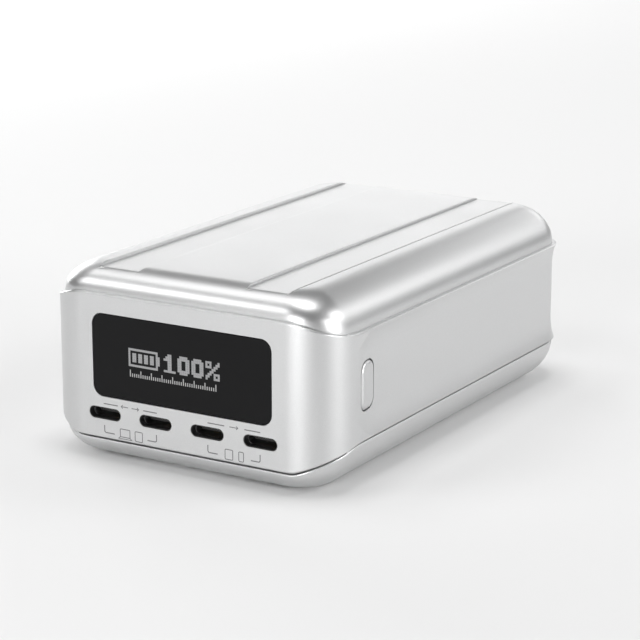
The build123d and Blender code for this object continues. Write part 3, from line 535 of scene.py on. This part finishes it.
# ---------------------------------------------------------------- flat marks on the front
def arc(centre, radius, start, end, steps=6):
    """Points of an arc in the front plane, angles in degrees."""
    points = []
    for i in range(steps + 1):
        a = math.radians(start + (end - start) * i / steps)
        points.append((centre[0] + radius * math.cos(a), centre[1] + radius * math.sin(a)))
    return points


def rounded_box(x0, x1, z0, z1, radius):
    """Closed outline with round corners."""
    corners = [(x1 - radius, z1 - radius, 0), (x0 + radius, z1 - radius, 90),
               (x0 + radius, z0 + radius, 180), (x1 - radius, z0 + radius, 270)]
    points = []
    for x, z, start in corners:
        points += arc((x, z), radius, start, start + 90)
    return points


def ribbon(points, width, closed=False):
    """Quads, as lists of corners, of a line of that width along the points."""
    half = width / 2
    count = len(points)
    sides = []
    for i, (x, z) in enumerate(points):
        before = points[i - 1] if i or closed else None
        after = points[(i + 1) % count] if i + 1 < count or closed else None
        runs = []
        if before:
            runs.append(Vector((x - before[0], z - before[1])).normalized())
        if after:
            runs.append(Vector((after[0] - x, after[1] - z)).normalized())
        along = sum(runs, Vector((0, 0))).normalized()
        across = Vector((-along.y, along.x))
        reach = half / max(abs(across.dot(Vector((-runs[0].y, runs[0].x)))), 0.4)
        step_x, step_z = across.x * reach, across.y * reach
        sides.append(((x + step_x, z + step_z), (x - step_x, z - step_z)))
    last = count if closed else count - 1
    return [(sides[i][1], sides[(i + 1) % count][1], sides[(i + 1) % count][0], sides[i][0])
            for i in range(last)]


def plate_piece(name, shapes, y, proud, material):
    """Thin closed plates from outlines in millimetres, standing proud of a front plane at y (metres)."""
    mesh = bmesh.new()
    for shape in shapes:
        back = [mesh.verts.new((x * MM, y + 0.01 * MM, z * MM)) for x, z in shape]
        front = [mesh.verts.new((x * MM, y - proud * MM, z * MM)) for x, z in shape]
        mesh.faces.new(front)
        mesh.faces.new(list(reversed(back)))
        count = len(shape)
        for i in range(count):
            j = (i + 1) % count
            mesh.faces.new((front[j], front[i], back[i], back[j]))
    bmesh.ops.remove_doubles(mesh, verts=mesh.verts, dist=0.0005 * MM)
    bmesh.ops.recalc_face_normals(mesh, faces=mesh.faces)
    piece_from(name, mesh, material, "case")


def dash(x0, x1, z):
    return ribbon([(x0, z), (x1, z)], INK_STROKE)


def bracket(x_edge, x_in, z_top, z_low):
    """Corner mark: down beside a socket and then inwards."""
    way = 1 if x_in > x_edge else -1
    centre = (x_edge + way * INK_CORNER, z_low + INK_CORNER)
    start, end = (180, 270) if way > 0 else (360, 270)
    points = [(x_edge, z_top)] + arc(centre, INK_CORNER, start, end, 5) + [(x_in, z_low)]
    return ribbon(points, INK_STROKE)


def arrow(x_tail, x_tip, z, head=0.42):
    """Thin arrow that points along X."""
    way = 1 if x_tip > x_tail else -1
    tip = (x_tip, z)
    barbs = [(x_tip - way * head, z + head), tip, (x_tip - way * head, z - head)]
    return ribbon([(x_tail, z), (x_tip - way * 0.06, z)], THIN_STROKE) + ribbon(barbs, THIN_STROKE)


def laptop(x, z):
    """Screen outline on a wider base."""
    screen = ribbon(rounded_box(x - 1.4, x + 1.4, z - 0.75, z + 1.2, 0.2), THIN_STROKE, closed=True)
    base = [(x - 1.35, z - 0.75), (x - 1.9, z - 1.2), (x + 1.9, z - 1.2), (x + 1.35, z - 0.75)]
    return screen + ribbon(base, THIN_STROKE)


def slab(x, z, half_w, half_h):
    """Upright tablet or phone outline."""
    shape = rounded_box(x - half_w, x + half_w, z - half_h, z + half_h, 0.25)
    return ribbon(shape, THIN_STROKE, closed=True)


def front_marks(ink):
    """Marks over and under the two pairs of sockets: dashes, arrows, corner marks and device outlines.

    Places across are measured from the middle of the left or the right pair.
    """
    upper = SOCKET_Z / MM + 3.05
    lower = SOCKET_Z / MM - 3.7
    low = SOCKET_Z / MM - 4.1
    high = SOCKET_Z / MM - 2.3
    left = (SOCKET_X[0] + SOCKET_X[1]) / 2 / MM
    right = (SOCKET_X[2] + SOCKET_X[3]) / 2 / MM
    shapes = {
        "mark_dashes": dash(left - 7.6, left - 3.5, upper) + dash(left + 3.8, left + 7.7, upper)
        + dash(right - 7.1, right - 2.5, upper) + dash(right + 3.0, right + 7.3, upper),
        "mark_arrows": arrow(left - 0.5, left - 2.5, upper) + arrow(left + 0.5, left + 2.5, upper)
        + arrow(right - 1.1, right + 1.2, upper),
        "mark_corners": bracket(left - 7.5, left - 4.6, high, low)
        + bracket(left + 7.5, left + 4.9, high, low)
        + bracket(right - 7.1, right - 4.4, high, low)
        + bracket(right + 7.2, right + 4.7, high, low),
        "mark_laptop": laptop(left - 1.55, lower),
        "mark_tablet_left": slab(left + 2.4, lower, 1.05, 1.2),
        "mark_tablet_right": slab(right - 1.3, lower, 1.05, 1.2),
        "mark_phone": slab(right + 2.05, lower, 0.65, 1.15),
    }
    for name, quads in shapes.items():
        plate_piece(name, quads, FRONT_Y, INK_PROUD, ink)


# ---------------------------------------------------------------- picture on the display
DIGITS = {
    "0": (".####.", "######", "##..##", "##..##", "##..##", "##..##", "######", ".####."),
    "1": ("..##..", ".###..", "####..", "..##..", "..##..", "..##..", "..##..", "######"),
    "%": ("###...#", "#.#..##", "###.##.", "...##..", "..##...", ".##.###", "##..#.#", "#...###"),
}
DOT = 0.555                     # pitch of the display's dots
PICTURE_PLACE = (10.3, 7.3)     # from the window's left and top edges to the picture's corner
PICTURE_PROUD = 0.008
TICK_DOT = 0.28
TICK_PITCH = 0.6
TICK_DROP = 5.3                 # from the top of the digits to the top of the long ticks
TICK_TALL, TICK_SHORT = 6, 3    # in dots


def dots(rows, x, z_top, pitch):
    """Square dots of a small bitmap whose top left corner is at x, z_top."""
    side = pitch * 0.97
    quads = []
    for r, row in enumerate(rows):
        for c, mark in enumerate(row):
            if mark != ".":
                x0 = x + c * pitch
                z1 = z_top - r * pitch
                quads.append([(x0, z1 - side), (x0 + side, z1 - side), (x0 + side, z1), (x0, z1)])
    return quads


def display_picture(lit, dim):
    """Battery sign, charge in percent, and a thin row of ticks below."""
    left = WINDOW_LOW.x / MM + PICTURE_PLACE[0]
    top = WINDOW_HIGH.z / MM - PICTURE_PLACE[1]
    y = WINDOW_LOW.y
    body = ["#" * 15] + ["#" + "." * 13 + "#"] * 6 + ["#" * 15]
    battery = dots(body, left, top, DOT)
    battery += dots(["#"] * 4, left + 15 * DOT, top - 2 * DOT, DOT)
    for bar in range(4):
        battery += dots(["##"] * 4, left + (2 + 3 * bar) * DOT, top - 2 * DOT, DOT)
    plate_piece("display_battery", battery, y, PICTURE_PROUD, lit)
    digits = []
    for i, mark in enumerate("100%"):
        digits += dots(DIGITS[mark], left + (18 + 7 * i) * DOT, top, DOT)
    plate_piece("display_percent", digits, y, PICTURE_PROUD, lit)
    ticks = []
    for i in range(41):
        tall = TICK_TALL if i % 5 == 0 else TICK_SHORT
        tick_top = top - TICK_DROP - (TICK_TALL - tall) * TICK_DOT
        ticks += dots(["#"] * tall, left + 0.3 + i * TICK_PITCH, tick_top, TICK_DOT)
    plate_piece("display_ticks", ticks, y, PICTURE_PROUD, dim)


# ---------------------------------------------------------------- socket contacts
CONTACT_SIZE = (0.25, 3.4, 0.03)
CONTACT_PITCH = 0.5
CONTACT_BACK, CONTACT_RISE = 2.4, 0.35      # from the tongue's front edge and from its middle plane
CONTACT_BEVEL = 0.01
# Pale strip along the top front edge of each black tongue: a painted highlight, a light line where that
# edge only catches light.
HIGHLIGHT_STRIP_SIZE = (6.2, 0.5, 0.2)
HIGHLIGHT_STRIP_BACK, HIGHLIGHT_STRIP_RISE = 0.2, 0.28
HIGHLIGHT_STRIP_BEVEL = 0.05


def add_bar(mesh, centre, size):
    """Straight bar round a centre in metres, with its size in millimetres."""
    made = bmesh.ops.create_cube(mesh, size=1.0)["verts"]
    bmesh.ops.scale(mesh, vec=[s * MM for s in size], verts=made)
    bmesh.ops.translate(mesh, vec=centre, verts=made)


def bevel_all(mesh, width):
    bmesh.ops.bevel(mesh, geom=mesh.edges[:], offset=width * MM, segments=2, affect="EDGES")


def socket_contacts(gold, painted_highlight_finish):
    """Twelve contact strips on each face of every socket tongue, and a pale strip along the tongue's front
    edge that is a painted highlight.
    """
    for i in (1, 2, 3, 4):
        low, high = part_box(f"usb_c_tongue_{i}")
        centre = (low.x + high.x) / 2
        z_mid = (low.z + high.z) / 2
        strips = bmesh.new()
        for side in (-1, 1):
            for pin in range(12):
                x = centre + (pin - 5.5) * CONTACT_PITCH * MM
                z = z_mid + side * CONTACT_RISE * MM
                add_bar(strips, (x, low.y + CONTACT_BACK * MM, z), CONTACT_SIZE)
        bevel_all(strips, CONTACT_BEVEL)
        piece_from(f"socket_contacts_{i}", strips, gold, "case")
        # Pale strip on the tongue's front edge: a painted highlight.
        tip = bmesh.new()
        add_bar(tip, (centre, low.y + HIGHLIGHT_STRIP_BACK * MM, z_mid + HIGHLIGHT_STRIP_RISE * MM), HIGHLIGHT_STRIP_SIZE)
        bevel_all(tip, HIGHLIGHT_STRIP_BEVEL)
        piece_from(f"socket_painted_highlight_{i}", tip, painted_highlight_finish, "case")


# ---------------------------------------------------------------- scene
bpy.context.scene.view_settings.view_transform = "Standard"
add_camera()
add_floor()
add_world(WORLD_LIGHT)
for name, azimuth, elevation, power in SOFTBOXES:
    add_softbox(f"softbox_{name}", azimuth, elevation, power)
finishes = make_finishes()
dress_nodes(finishes)
paint = finishes["casing_paint"]
casing_shell("casing_top", "top_shell", TOP_FORM, *TOP_SEAM, CASE_HIGH.z, 1, paint)
casing_shell("casing_bottom", "bottom_shell", BOTTOM_FORM, *BOTTOM_SEAM, CASE_LOW.z, -1, paint)
front_marks(finish("grey_ink", (0.16, 0.16, 0.165), roughness=0.6, grain=0.12))
display_picture(glow("display_lit", (0.27, 0.27, 0.275), 0.1), glow("display_dim", (0.34, 0.34, 0.34), 0.1))
# The tongue strips get a pale finish that is a painted highlight.
socket_contacts(finish("gold_contact", (0.83, 0.6, 0.25), metallic=1.0, roughness=0.25, grain=0.2),
                finish("tongue_painted_highlight", (0.8, 0.8, 0.8), roughness=0.4, grain=0.2))

bpy.context.view_layer.update()
